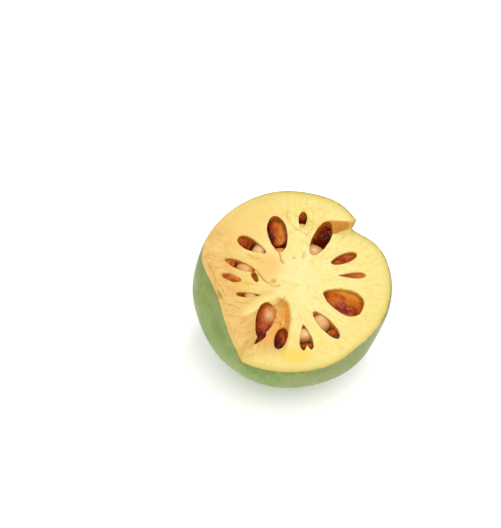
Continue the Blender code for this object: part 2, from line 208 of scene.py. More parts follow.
def leaned(degrees):
    """Turn by this angle toward the side that the fruit leans to."""
    a, t = math.radians(degrees), math.radians(LEAN_TOWARD)
    k = np.array([-math.sin(t), math.cos(t), 0.0])
    cross = np.array([[0, -k[2], k[1]], [k[2], 0, -k[0]], [-k[1], k[0], 0]])
    return np.eye(3) + math.sin(a) * cross + (1 - math.cos(a)) * cross @ cross


FACE = leaned(FACE_LEAN)
FRUIT = leaned(STEM_LEAN)
CENTRE = np.array([0.0, 0.0, math.sqrt(FRUIT_RADIUS ** 2 - REST_RADIUS ** 2)])


def rough(points, size, seed, octaves=3):
    """Noise from -1 to 1 at points in millimetres, with features about size across."""
    shift = Vector((17.3 * seed, 5.1 * seed, 11.7 * seed))
    return np.array([noise.fractal(Vector(p) / size + shift, 1.0, 2.0, octaves) for p in points])


def skin_radius(direction):
    """Distance from the fruit's middle to its skin, for unit directions in the face frame."""
    radius = np.full(len(direction), FRUIT_RADIUS)
    for azimuth, elevation, depth, spread in SHOULDERS:
        a, e = math.radians(azimuth), math.radians(elevation)
        middle = np.array([math.cos(a) * math.cos(e), math.sin(a) * math.cos(e), math.sin(e)])
        away = np.degrees(np.arccos(np.clip(direction @ middle, -1.0, 1.0)))
        radius -= depth * bell(away / spread)
    return radius


def scar(polar):
    """Rise of the skin round the stem's scar: a low ring with a dished middle."""
    away = FRUIT_RADIUS * polar / SCAR_RADIUS
    return SCAR_RING * bell((away - 1.0) / 0.25) - SCAR_DISH * (1 - smooth(0.2, 0.85, away))


def crack_dent(azimuth, elevation, inset):
    """How far the skin is pushed in beside the crack; it steps back out under the lip's tip."""
    away = (np.degrees(azimuth) - CRACK_COLUMN + 180.0) % 360.0 - 180.0
    inside = min(inset / WALL, 1.0)
    edge = CRACK_EDGE[0] + (CRACK_EDGE[1] - CRACK_EDGE[0]) * inside
    before, past = (depth * bell(away / spread) for depth, spread in (CRACK_DENT, CRACK_TIP))
    step = smooth(-edge, edge, away - CRACK_SHIFT * inside)
    return (before + (past - before) * step) * smooth(-45.0, -8.0, elevation)


def skin(azimuth, polar, inset=0.0):
    """Points from the fruit's middle to its skin, polar angles counted from the stem's end."""
    d = np.stack([np.sin(polar) * np.cos(azimuth), np.sin(polar) * np.sin(azimuth), -np.cos(polar)], -1)
    d = d @ FRUIT.T
    face = d @ FACE
    radius = skin_radius(face) - crack_dent(azimuth, np.degrees(np.arcsin(face[:, 2])), inset) - inset
    if inset == 0.0:
        radius = radius + scar(polar)
    return d * radius[:, None]


def face_azimuth(u, v):
    return np.degrees(np.arctan2(v, u)) % 360.0


def crack_frame(u, v):
    """How far a place is along the crack and aside from it, and the half width of the crack's wall."""
    length = math.dist(CRACK_INNER, CRACK_OUTER)
    au, av = (CRACK_OUTER[0] - CRACK_INNER[0]) / length, (CRACK_OUTER[1] - CRACK_INNER[1]) / length
    du, dv = u - CRACK_INNER[0], v - CRACK_INNER[1]
    along, side = du * au + dv * av, dv * au - du * av
    return along, side, CRACK_HALF[0] + (CRACK_HALF[1] - CRACK_HALF[0]) * np.clip(along / length, 0, 1)


def crack_wall(u, v):
    """Share of a place that lies on the crack's steep wall."""
    along, side, half = crack_frame(u, v)
    return smooth(1.25, 0.9, np.abs(side) / half) * smooth(-3.5, 0.5, along)


def in_basin(u, v):
    """Share of a place that lies in the torn hollow at the lower left."""
    inside = 1 - smooth(-2.4, 1.2, u - follow(BASIN_RIGHT, v))
    inside *= (1 - smooth(-3.0, 1.0, v - follow(BASIN_TOP, u))) * smooth(-34.0, -25.0, v)
    return inside


def cut_height(u, v):
    """Height of the cut and broken face over the plane of the cut."""
    radius, azimuth = np.hypot(u, v), face_azimuth(u, v)
    lip = follow(RIM_LEVELS, azimuth) * smooth(19.0, 38.0, radius)

    along, side, half = crack_frame(u, v)
    half = half + 5.0 * (1 - smooth(-9.0, -1.0, along))
    above = smooth(-1.0, 1.0, side / half)
    crack = CRACK_RISE * smooth(8.0, 33.0, radius) * above * (1 - smooth(56, 150, azimuth)) * (azimuth < 180)
    crack -= CRACK_DROP * (1 - above) * smooth(-5.0, 4.0, along) * bell(side / 7.0)

    basin = -BASIN_DEPTH * in_basin(u, v) * bell(np.minimum(u + 8.0, 0.0) / 8.0)
    return lip + crack + basin


def under_flap(u, v):
    """Share of a place that lies below the flap's lower edge."""
    return smooth(0.25, -0.35, v - follow(FLAP, u))


def torn(u, v):
    """Share of a place that was torn and not cut clean."""
    azimuth = face_azimuth(u, v)
    broken = 1 - smooth(*TORN_END, azimuth)
    left = smooth(-15.0, -28.0, u + 0.2 * v) * smooth(120, 160, azimuth) * broken
    lower = under_flap(u, v) * smooth(-4.0, -7.0, u) * broken * (azimuth > 180)
    return np.maximum.reduce([left, lower, in_basin(u, v), crack_wall(u, v)])


def wandering(points, seed):
    """The same line with smaller and smaller bends in it."""
    chance = np.random.default_rng(seed)
    line = np.array(points)
    for _ in range(2):
        step = line[1:] - line[:-1]
        aside = np.stack([-step[:, 1], step[:, 0]], -1)
        middle = (line[1:] + line[:-1]) / 2 + aside * chance.uniform(-0.15, 0.15, (len(step), 1))
        line = np.concatenate([np.stack([line[:-1], middle], 1).reshape(-1, 2), line[-1:]])
    return line


def from_line(line, u, v):
    """Distance of places on the face from a line, negative on its right, and the share along it."""
    nearest, side, along = np.full(len(u), 1e9), np.zeros(len(u)), np.zeros(len(u))
    count = len(line) - 1
    for k in range(count):
        (u0, v0), (u1, v1) = line[k], line[k + 1]
        du, dv = u1 - u0, v1 - v0
        t = np.clip(((u - u0) * du + (v - v0) * dv) / (du * du + dv * dv), 0, 1)
        away = np.hypot(u - u0 - t * du, v - v0 - t * dv)
        closer = away < nearest
        nearest = np.where(closer, away, nearest)
        side = np.where(closer, np.sign(du * (v - v0) - dv * (u - u0)), side)
        along = np.where(closer, (k + t) / count, along)
    return nearest * side, along


def cracks(u, v):
    """Depth of the fine cracks, and for drawing them the distance in half widths, strength and border."""
    depth, drawn = np.zeros(len(u)), np.zeros((len(u), 3))
    for seed, (line, deep, half) in enumerate(FINE_CRACKS):
        away, along = from_line(wandering(line, seed), u, v)
        thin = smooth(0.0, 0.25, along) * smooth(1.0, 0.8, along)
        depth += deep * thin * bell(away / 0.32)
        close = np.abs(away) < 1.6
        shown = thin * smooth(1.5, 0.7, np.abs(away)) * min(deep / 0.5, 1.0)
        drawn[close] = np.stack([away / half, shown, bell(away / 0.8) * thin], -1)[close]
    return depth, drawn


def relief(points):
    """Rise of the face over its plain form: fibres, fine cracks, the flap, its fold and a sunk patch."""
    u, v, _ = to_face(points)
    ripped = torn(u, v)
    angle, radius = np.arctan2(v, u), np.hypot(u, v)
    near = 14 * np.minimum(radius / PITH_RADIUS, 1)
    fibres = np.stack([np.cos(angle) * near, np.sin(angle) * near, radius / 8], -1)
    rise = 0.2 * ripped * rough(fibres, 1.0, 11, 4) + 0.05 * rough(fibres, 0.8, 12)
    rise += 0.25 * ripped * rough(points, 4.0, 13) + 0.05 * rough(points, 2.0, 14)
    strands = np.stack([u * 1.6, v * 0.25, np.zeros(len(u))], -1)
    rise += 0.35 * in_basin(u, v) * smooth(-9.0, -5.0, u) * rough(strands, 1.3, 15)
    rise -= cracks(u, v)[0]
    rise += 0.7 * flap_ridge(u, v) - 0.4 * flap_valley(u, v)
    sunk = smooth(6.5, 2.5, np.hypot(u - SUNK_AT[0], v - SUNK_AT[1])) * smooth(0.0, 0.8, beyond_crack(u, v))
    return rise - 0.35 * sunk


def flap_ridge(u, v):
    """Height of the flap, from 0 to 1: steep at its edge and gentle behind it."""
    side, along = from_line(FLAP, u, v)
    ends = smooth(0.0, 0.35, along) * smooth(1.0, 0.85, along)
    return bell(side / np.where(side > 0, 1.7, 0.3)) * ends


def flap_valley(u, v):
    """Depth of the fold behind the flap, from 0 to 1."""
    side, along = from_line(FLAP, u, v)
    return bell((side - 4.4) / 1.3) * smooth(0.1, 0.4, along) * smooth(0.95, 0.6, along)


def beyond_crack(u, v):
    """How far a place lies beyond the longest fine crack, toward the top left."""
    return v - follow(FINE_CRACKS[0][0], u)


def rim(azimuth, inset):
    """Polar angles and points where the skin, moved inward by inset, meets the face."""
    low, high = np.full(len(azimuth), 0.9), np.full(len(azimuth), 2.6)
    for _ in range(36):
        middle = (low + high) / 2
        face = skin(azimuth, middle, inset) @ FACE
        below = face[:, 2] - CUT_OFFSET < cut_height(face[:, 0], face[:, 1])
        low, high = np.where(below, middle, low), np.where(below, high, middle)
    middle = (low + high) / 2
    return middle, skin(azimuth, middle, inset)


def columns():
    """Azimuths about the stem's line, close together at the crack and with one through the corner."""
    near = CRACK_COLUMN + np.concatenate([np.arange(-1.2, 1.3, 0.3), np.arange(1.8, 9.1, 0.6)])
    spread = (np.linspace(near[-1], CORNER_COLUMN, 186)[1:-1],
              np.linspace(CORNER_COLUMN, near[0] + 360.0, 170)[:-1])
    return np.radians(np.concatenate([near, *spread]))


COLUMN_AZIMUTHS = columns()
COLUMNS = len(COLUMN_AZIMUTHS)


def from_face(u, v, w):
    return np.stack(np.broadcast_arrays(u, v, w + CUT_OFFSET), -1) @ FACE.T


def to_face(points):
    face = points @ FACE
    return face[:, 0], face[:, 1], face[:, 2] - CUT_OFFSET


def solid(name, first, loops, last):
    """Closed mesh object from a first point, equal loops and a last point, measured from the middle."""
    count = len(loops[0])
    points = np.concatenate([[first], *loops, [last]])
    end = len(points) - 1
    top = end - count
    sides = [(j, (j + 1) % count) for j in range(count)]
    faces = []
    for a, b in sides:
        faces += [(0, 1 + b, 1 + a), (end, top + a, top + b)]
    for low in range(1, top, count):
        high = low + count
        faces += [(low + a, low + b, high + b, high + a) for a, b in sides]
    mesh = bpy.data.meshes.new(name)
    mesh.from_pydata(((points + CENTRE) * MM).tolist(), [], faces)
    bm = bmesh.new()
    bm.from_mesh(mesh)
    bmesh.ops.recalc_face_normals(bm, faces=bm.faces)
    bm.to_mesh(mesh)
    bm.free()
    mesh.shade_smooth()
    made = bpy.data.objects.new(name, mesh)
    bpy.context.scene.collection.objects.link(made)
    return made


def places(mesh):
    """A mesh's points in millimetres from the fruit's middle."""
    co = np.empty(len(mesh.vertices) * 3)
    mesh.vertices.foreach_get("co", co)
    return co.reshape(-1, 3) / MM - CENTRE


def move_to(mesh, points):
    mesh.vertices.foreach_set("co", ((points + CENTRE) * MM).astype(np.float32).ravel())
    mesh.update()


def paint(mesh, marks):
    """Store numbers or vectors for each point, by name, for the materials to read."""
    for name, values in marks.items():
        values = np.asarray(values, np.float32)
        kind = "FLOAT" if values.ndim == 1 else "FLOAT_VECTOR"
        layer = mesh.attributes.new(name, kind, "POINT")
        layer.data.foreach_set("value" if kind == "FLOAT" else "vector", values.ravel())


def combine(body, operation, tool):
    """Cut a body with another one, or keep what the two share."""
    cut = body.modifiers.new(tool.name, "BOOLEAN")
    cut.operation, cut.solver, cut.object = operation, "MANIFOLD", tool
    mesh = bpy.data.meshes.new_from_object(body.evaluated_get(bpy.context.evaluated_depsgraph_get()))
    body.modifiers.clear()
    body.data = mesh
    bpy.data.objects.remove(tool)


def soften(body):
    """Shade smooth, with an edge left wherever two faces meet sharply."""
    body.data.shade_smooth()
    body.data.set_sharp_from_angle(angle=math.radians(48.0))


def cell_points(cell, x, y, z):
    """Points given in a cell's frame, x toward its outer end and z over the local cut."""
    u, v, _, _, turn = cell[:5]
    t = math.radians(turn)
    level = cut_height(np.array([u]), np.array([v]))[0]
    return from_face(u + x * math.cos(t) - y * math.sin(t), v + x * math.sin(t) + y * math.cos(t), level + z)


CELL_SIDES, LUMP_SIDES = 56, 72
CELL_OVER = 9.0     # how far the cutting form of a cell stands over the face
WALL_BITE = 0.04    # how far gum and seeds reach into a cell's wall
# Levels of a cell's rows as shares of its depth
DEPTHS = (-0.985, -0.95, -0.9, -0.82, -0.73, -0.63, -0.53, -0.43, -0.34, -0.26, -0.19, -0.13, -0.08, -0.04)


def hollow(name, cell, seed, ragged=WHOLE_END, inset=0.0):
    """The room in a seed cell, with an outline and walls a little uneven, as torn from the gum."""
    length, width, _, depth, taper = cell[2:]
    a, depth = length / 2 - inset, depth - inset
    theta = np.arange(CELL_SIDES) * 2 * math.pi / CELL_SIDES
    notch = np.degrees(np.abs((theta - math.radians(ragged[0]) + math.pi) % (2 * math.pi) - math.pi))
    bite = 1 - ragged[1] / a * bell(notch / 16.0)
    circle = np.stack([np.cos(theta), np.sin(theta), np.zeros(CELL_SIDES)], -1)
    tapered = 1 - taper * 0.5 * (1 - np.cos(theta))
    across = width / 2 * tapered - inset * np.minimum(tapered, 1)
    uneven = 1 + 0.05 * rough(circle, 0.8, seed) + 0.02 * rough(circle, 0.18, seed + 3)
    loops = []
    for z in DEPTHS + (0.0, 0.04, 0.1, CELL_OVER / depth):
        wide = (1 - max(-z, 0.0) ** 2.4) ** 0.5
        wall = circle + np.array([0, 0, z * 1.2])
        scale = wide * bite * uneven * (1 + 0.035 * rough(wall, 0.35, seed + 7) * min(1.0, max(-z, 0.0) * 8))
        lip = 0.25 * math.exp(-((z * depth) / 0.35) ** 2) if z < 0.2 else 0.0
        x = (a * scale + lip) * np.cos(theta)
        y = (across * scale + lip) * np.sin(theta)
        loops.append(cell_points(cell, x, y, z * depth))
    first, last = (cell_points(cell, 0.0, 0.0, z) for z in (-depth, CELL_OVER))
    return solid(name, first, loops, last)


def in_cell(cell, points):
    """Points of the fruit brought into that frame."""
    u, v, w = to_face(points)
    t = math.radians(cell[4])
    level = cut_height(np.array([cell[0]]), np.array([cell[1]]))[0]
    du, dv = u - cell[0], v - cell[1]
    return du * math.cos(t) + dv * math.sin(t), dv * math.cos(t) - du * math.sin(t), w - level


def reach_on(share):
    """Span of a mass, a little wider where it meets the cell's wall, so that it climbs the wall."""
    return share * (1.15 if abs(share) > 1 else 1.0)


def lump(name, along, across, top, shift, swell, facets=0.0):
    """Rounded mass that meets the walls of its cell, uneven as set gum is."""
    number = name[-2:]
    cell, seed = CELLS[number], int(number) + shift
    length, width, _, depth = cell[2:6]
    x0, x1 = (reach_on(share) * length / 2 for share in along)
    y0, y1 = (reach_on(share) * width / 2 for share in across)
    middle, half = ((x0 + x1) / 2, (y0 + y1) / 2), ((x1 - x0) / 2, (y1 - y0) / 2)
    bottom = -1.25 * depth
    theta = np.arange(LUMP_SIDES) * 2 * math.pi / LUMP_SIDES
    loops = []
    for lift in np.radians(np.concatenate([np.linspace(-60, 50, 20), np.linspace(53, 89, 19)])):
        c, rise = math.cos(lift) ** 0.85, math.sin(lift)
        ball = np.stack([c * np.cos(theta), c * np.sin(theta), np.full(LUMP_SIDES, rise)], -1)
        grow = 1 + swell * rough(ball, 0.8, seed) + swell * 0.25 * rough(ball, 0.25, seed + 5)
        fold = np.abs(rough(ball, 0.7, seed + 9, 2))
        x = middle[0] + half[0] * c * full(np.cos(theta)) * grow
        y = middle[1] + half[1] * c * full(np.sin(theta)) * grow
        z = (top + bottom) / 2 + (top - bottom) / 2 * rise - facets * fold * smooth(-0.2, 0.8, rise)
        loops.append(cell_points(cell, x, y, z))
    first, last = (cell_points(cell, *middle, z) for z in (bottom, top))
    body = solid(name + "_look", first, loops, last)
    ragged = RAGGED_ENDS.get(number, WHOLE_END)
    combine(body, "INTERSECT", hollow("room", cell, int(number), ragged, -WALL_BITE))
    soften(body)
    paint(body.data, lump_marks(name, cell, middle, half, top, places(body.data)))
    return body


def lump_marks(name, cell, middle, half, top, points):
    """What the gum and seed materials read at each point of a mass."""
    x, y, z = in_cell(cell, points)
    from_x, from_y = x - middle[0], y - middle[1]
    reach = np.hypot(from_x / half[0], from_y / half[1])
    # tone is the gum's own colour; rise lightens it toward the side that faces the light, as painted light
    tone, rise, toward = TONES_AND_LIT_SIDES.get(name, (0.0, 0.0, 0))
    turn = math.radians(cell[4] - toward)
    side = from_x * math.cos(turn) - from_y * math.sin(turn)
    # Upper side of the fifth cell: an orange ledge, painted lighter where it faces the light.
    lit_ledge = smooth(0.3, 0.5, y / (cell[3] / 2) - 0.12 * x / (cell[2] / 2))
    # Pale patch on the ninth gum: a painted highlight.
    clear = np.exp(-((x + 2.5) / 2.2) ** 2 - ((y - 1.0) / 1.7) ** 2)
    return {
        "edge": smooth(0.6, 0.95, reach),
        "tone": tone + rise * side / np.max(np.abs(side)),
        "lit_ledge": lit_ledge * (name == LIT_LEDGE_GUM),
        "clear": clear * (name == HIGHLIGHTED_GUM),
        "coated": np.full(len(y), COATED.get(name, 0.0)),
        # Darker where the gum meets the cell's wall, the more so below its top: painted shade in that crevice
        "crevice_shade": smooth(0.86, 0.98, reach) * smooth(0.0, 1.5, top - z),
        "grain": np.stack([y, z, x], -1),
    }


def bedded(azimuth, polar, inset):
    """Ring of the skin moved inward, kept over the flat floor inside the rind."""
    ring = skin(azimuth, polar, inset)
    ring[:, 2] = np.maximum(ring[:, 2], FLAT_WALL - CENTRE[2])
    return ring


RIM_INSETS = (0.15, 0.4, 0.8, 1.2, 1.6, 1.9, WALL)      # rows over the rind's edge, from the skin inward
STEM_END = 9.0      # degrees round the stem's end where the rows are close together, for the scar


def rind_shell():
    """The rind in its plain form, and the number of its rows that lie on the skin."""
    azimuth = COLUMN_AZIMUTHS
    polar, _ = rim(azimuth, 0.0)
    near = math.radians(STEM_END)
    loops = [skin(azimuth, np.full(COLUMNS, math.radians(p))) for p in np.arange(0.6, STEM_END, 0.6)]
    shares = 1 - (1 - np.linspace(0, 1, 72)) ** 1.3
    loops += [skin(azimuth, near + (polar - near) * s) for s in shares[:-1]]
    arc = 0.3 / FRUIT_RADIUS
    loops += [skin(azimuth, polar - arc * s) for s in (1.0, 0.4)]
    skin_rows = len(loops)
    loops += [rim(azimuth, inset)[1] for inset in RIM_INSETS]
    inner, _ = rim(azimuth, WALL)
    loops += [bedded(azimuth, inner * share, WALL) for share in np.linspace(1, 0, 16)[1:-1]]
    pole = np.zeros(1)
    return solid("rind_look", skin(pole, pole)[0], loops, skin(pole, pole, WALL)[0]), skin_rows


def build_rind():
    body, skin_rows = rind_shell()
    points = places(body.data)
    rows = (np.arange(len(points)) - 1) // COLUMNS - skin_rows
    last = len(RIM_INSETS) - 1
    outside = rows < 0
    outward = points / np.linalg.norm(points, axis=1, keepdims=True)
    u, v, w = to_face(points)
    under = cut_height(u, v) - w
    waves = 0.14 * rough(outward * 40, 16.0, 2) + 0.03 * rough(outward * 40, 2.5, 5)
    points = points + outward * (waves * smooth(0.0, 3.0, under) * outside)[:, None]
    chipped = torn(u, v) * (rows > 0) * (rows < last)
    chips = 0.25 * rough(points, 1.4, 8) + relief(points)
    points = points + FACE[:, 2] * (chipped * chips)[:, None]
    points[:, 2] = np.maximum(points[:, 2], -CENTRE[2])
    move_to(body.data, points)
    soften(body)
    from_stem = np.arccos(np.clip(-(outward @ FRUIT[:, 2]), -1, 1))
    paint(body.data, {
        "below_rim": np.where(outside, under, 0.0),
        "cut_band": (~outside).astype(float),
        "from_skin": np.clip(rows / last, 0, 1) * WALL,
        "from_scar": FRUIT_RADIUS * from_stem,
        "torn": torn(u, v),
        "place": np.stack([u, v, w], -1),
    })
    return body


def pulp_block():
    """The pulp with the relief of its face, before the cells are cut."""
    azimuth = COLUMN_AZIMUTHS
    inset = WALL - 0.02
    polar, edge = rim(azimuth, inset)
    loops = [bedded(azimuth, polar * share, inset) for share in np.linspace(0, 1, 16)[1:-1]]
    under = len(loops)
    loops.append(edge)
    u, v, _ = to_face(edge)
    reach, start = np.hypot(u, v), np.degrees(np.arctan2(v, u))
    for share in 1 - np.linspace(0, 1, 150)[1:-1]:
        radius = reach * share
        swing = CRACK_SWING * bell((start - 49.0) / 28.0) * (1 - smooth(26.0, 32.0, radius))
        turned = np.radians(start + swing)
        ring_u, ring_v = radius * np.cos(turned), radius * np.sin(turned)
        loops.append(from_face(ring_u, ring_v, cut_height(ring_u, ring_v)))
    pole = np.zeros(1)
    middle = from_face(0.0, 0.0, cut_height(pole, pole)[0])
    body = solid("pulp_look", skin(pole, pole, inset)[0], loops, middle)
    points = places(body.data)
    face = (np.arange(len(points)) - 1) // COLUMNS > under
    u, v, _ = to_face(points)
    inside = np.interp(face_azimuth(u, v), *edge_reach(edge)) - np.hypot(u, v)
    rise = relief(points) * face * smooth(0.0, 0.4, inside)
    move_to(body.data, points + FACE[:, 2] * rise[:, None])
    return body


def build_pulp():
    body = pulp_block()
    for number, cell in CELLS.items():
        combine(body, "DIFFERENCE", hollow("cut", cell, int(number), RAGGED_ENDS.get(number, WHOLE_END)))
    combine(body, "DIFFERENCE", hollow("cut", TORN_TAIL, 20))
    soften(body)
    paint(body.data, pulp_marks(places(body.data)))
    return body


def pulp_marks(points):
    """What the pulp's material reads at each point."""
    u, v, w = to_face(points)
    angle, radius = np.arctan2(v, u), np.hypot(u, v)
    below = cut_height(u, v) - w
    peach = smooth(8.0, 2.5, np.hypot(u - PEACH_AT[0], v - PEACH_AT[1]))
    tongue, down = from_line(TONGUE, u, v)
    tail_x, tail_y, _ = in_cell(TORN_TAIL, points)
    gash = smooth(1.25, 1.0, np.hypot(tail_x / (TORN_TAIL[2] / 2), tail_y / 1.15))
    near = np.minimum(radius / PITH_RADIUS, 1)
    return {
        "depth": np.clip(below, 0, 20),
        "torn": torn(u, v),
        "basin": in_basin(u, v),
        "crack": crack_wall(u, v),
        "creased": cracks(u, v)[1],
        "peach": peach * smooth(-0.2, 0.3, beyond_crack(u, v)),
        # Read only for colour: painted light on the flap's ridge and painted shade in the fold behind it
        "flap": flap_ridge(u, v),
        "fold_shade": flap_valley(u, v),
        "tongue": smooth(3.4, 1.2, np.abs(tongue)) * smooth(0.0, 0.4, down),
        "gash": gash * smooth(0.1, 0.5, below),
        "vein": sum(vein(line, seed + 30, u, v) for seed, line in enumerate(VEINS)),
        "stain": sum(share * around(CELLS[name], points) for name, share in STAINED.items()),
        "fibre": np.stack([np.cos(angle) * near, np.sin(angle) * near, radius / 40], -1),
        "place": np.stack([u, v, w], -1),
    }


def vein(line, seed, u, v):
    """Strength of a soft line drawn on the face."""
    away, along = from_line(wandering(line, seed), u, v)
    return bell(away / 0.45) * smooth(0.0, 0.2, along) * smooth(1.0, 0.8, along)


def around(cell, points):
    """Share of a place that lies on the walls of a seed cell."""
    x, y, _ = in_cell(cell, points)
    a, b = cell[2] / 2, cell[3] / 2
    tapered = 1 - cell[6] * 0.5 * (1 - x / np.hypot(x, y * a / b))
    return smooth(1.3, 1.1, np.hypot(x / a, y / (b * tapered)))


def edge_reach(edge):
    """Azimuths in degrees and radii of the pulp's rim, in rising order."""
    u, v, _ = to_face(edge)
    angle = face_azimuth(u, v)
    order = np.argsort(angle)
    return angle[order], np.hypot(u, v)[order]


def feed(tree, socket, value):
    """Link a socket to another node's output, or give it a value of its own."""
    if isinstance(value, bpy.types.NodeSocket):
        tree.links.new(value, socket)
    else:
        socket.default_value = value


def node(tree, kind, inputs=None, **settings):
    made = tree.nodes.new("ShaderNode" + kind)
    for key, value in settings.items():
        setattr(made, key, value)
    for key, value in (inputs or {}).items():
        feed(tree, made.inputs[key], value)
    return made


LIT = 0.74     # the studio is so bright that a surface with this share of white is seen as white


def sRGB(red, green, blue):
    """Colour of a surface that looks like this in the studio's light."""
    return tuple(LIT * (c / 255 / 12.92 if c / 255 <= 0.04045 else ((c / 255 + 0.055) / 1.055) ** 2.4)
                 for c in (red, green, blue)) + (1.0,)


class Look:
    """A material with short ways to build its nodes."""

    def __init__(self, name):
        self.made = bpy.data.materials.new(name)
        self.made.use_nodes = True
        self.tree = self.made.node_tree
        self.shader = self.tree.nodes["Principled BSDF"]
        self.object_place = node(self.tree, "TexCoord").outputs["Object"]

    def read(self, name, vector=False):
        found = node(self.tree, "Attribute", attribute_name=name)
        return found.outputs["Vector" if vector else "Fac"]

    def noise(self, scale, detail=3.0, roughness=0.55, place=None):
        place = place or self.object_place
        inputs = {"Vector": place, "Scale": scale, "Detail": detail, "Roughness": roughness}
        return node(self.tree, "TexNoise", inputs).outputs["Fac"]

    def spots(self, scale):
        inputs = {"Vector": self.object_place, "Scale": scale}
        return node(self.tree, "TexVoronoi", inputs).outputs["Distance"]

    def axes(self, place):
        return node(self.tree, "SeparateXYZ", {"Vector": place}).outputs

    def stretch(self, place, scale):
        return node(self.tree, "Mapping", {"Vector": place, "Scale": scale}).outputs["Vector"]

    def span(self, value, low, high, out_low=0.0, out_high=1.0):
        inputs = {"Value": value, "From Min": low, "From Max": high, "To Min": out_low, "To Max": out_high}
        return node(self.tree, "MapRange", inputs, interpolation_type="SMOOTHSTEP").outputs["Result"]

    def calc(self, operation, a, b=0.0):
        return node(self.tree, "Math", {0: a, 1: b}, operation=operation).outputs[0]

    def times(self, a, b):
        return self.calc("MULTIPLY", a, b)

    def plus(self, a, b):
        return self.calc("ADD", a, b)

    def mix(self, share, a, b):
        return node(self.tree, "Mix", {0: share, 6: a, 7: b}, data_type="RGBA").outputs[2]

    def lay(self, colour, over, share, strength):
        """A colour with another laid over it, by a share times a strength."""
        return self.mix(self.times(share, strength), colour, over)

    def tint(self, colour, over, value, low, high, strength):
        """A colour with another laid over it, up to a strength, as a value goes from low to high."""
        return self.mix(self.span(value, low, high, 0.0, strength), colour, over)

    def ramp(self, value, stops):
        made = node(self.tree, "ValToRGB", {"Fac": value})
        for element, stop in zip(made.color_ramp.elements, (stops[0], stops[-1])):
            element.position, element.color = stop
        for position, colour in stops[1:-1]:
            made.color_ramp.elements.new(position).color = colour
        return made.outputs["Color"]

    def bump(self, height, strength, distance, after=None):
        inputs = {"Height": height, "Strength": strength, "Distance": distance}
        if after:
            inputs["Normal"] = after
        return node(self.tree, "Bump", inputs).outputs["Normal"]

    def finish(self, colour, roughness, normal=None, **values):
        values.update(Base_Color=colour, Roughness=roughness)
        if normal:
            values["Normal"] = normal
        for name, value in values.items():
            feed(self.tree, self.shader.inputs[name.replace("_", " ")], value)
        return self.made


def rind_skin(look, patch, fine):
    """Mottled green, golden on the far side, with specks, a pale bloom and the stem's scar."""
    below, from_scar = look.read("below_rim"), look.read("from_scar")
    x, y, _ = look.axes(look.object_place)
    broad = look.noise(55, 4, 0.6)
    green = look.ramp(look.span(below, 0, 30), [
        (0.0, sRGB(112, 142, 34)), (0.3, sRGB(130, 160, 56)), (0.65, sRGB(142, 164, 74)),
        (1.0, sRGB(148, 164, 84))])
    green = look.tint(green, sRGB(158, 174, 92), broad, 0.42, 0.66, 0.7)
    green = look.tint(green, sRGB(122, 150, 46), patch, 0.5, 0.72, 0.7)
    # Drab mottling, laid only on the right side, also darkens that side: real mottling and painted shade on
    # the side away from the light.
    drab_and_shade = look.times(look.span(x, -0.012, 0.024), look.span(broad, 0.2, 0.75))
    green = look.lay(green, sRGB(138, 128, 78), drab_and_shade, 0.85)
    gold = look.ramp(patch, [(0.3, sRGB(206, 150, 40)), (0.5, sRGB(220, 170, 56)), (0.7, sRGB(190, 164, 70))])
    far = look.plus(look.span(y, 0.004, 0.036), look.times(broad, 0.5))
    colour = look.mix(look.span(far, 0.5, 1.15), green, gold)
    dots = look.times(look.span(look.spots(700), 0.22, 0.1), look.span(look.noise(260, 2), 0.45, 0.65))
    colour = look.lay(colour, sRGB(96, 98, 44), dots, 0.45)
    colour = look.lay(colour, sRGB(206, 212, 160), look.span(look.spots(420), 0.16, 0.07), 0.3)
    colour = look.tint(colour, sRGB(182, 200, 146), fine, 0.35, 0.75, 0.2)
    rust = look.times(look.span(look.noise(340, 5, 0.7), 0.6, 0.72), look.span(y, -0.005, 0.02))
    colour = look.lay(colour, sRGB(140, 88, 30), rust, 0.6)
    ring = look.ramp(look.span(from_scar, 0, 8), [
        (0.0, sRGB(96, 72, 44)), (0.22, sRGB(120, 96, 60)), (0.42, sRGB(176, 156, 108)),
        (0.56, sRGB(150, 120, 74)), (0.75, sRGB(186, 150, 84))])
    colour = look.mix(look.span(from_scar, 6.2, 3.9), colour, ring)
    olive = look.mix(look.span(patch, 0.4, 0.62), sRGB(150, 150, 88), sRGB(116, 128, 60))
    return look.mix(look.span(below, 0.8, 0.1), colour, olive)


def rind_edge(look, patch, fine, place):
    """Yellow, greener toward the skin, warmer at the left and tan where it was torn."""
    depth = look.plus(look.span(look.read("from_skin"), 0, WALL), look.span(fine, 0.3, 0.7, -0.06, 0.06))
    flesh = look.ramp(depth, [
        (0.0, sRGB(158, 156, 84)), (0.1, sRGB(202, 186, 96)), (0.3, sRGB(226, 200, 102)),
        (0.6, sRGB(236, 207, 110)), (1.0, sRGB(246, 219, 122))])
    flesh = look.tint(flesh, sRGB(236, 208, 116), look.noise(420, 4), 0.45, 0.7, 0.5)
    flesh = look.tint(flesh, sRGB(244, 208, 122), look.axes(place)["X"], 4.0, -30.0, 0.8)
    tan = look.mix(look.span(patch, 0.38, 0.62), sRGB(240, 198, 114), sRGB(226, 174, 96))
    return look.lay(flesh, tan, look.read("torn"), 0.85)


BRUISE_AT = (-29.2, -8.4, 4.0)      # on the broken edge, in the face frame


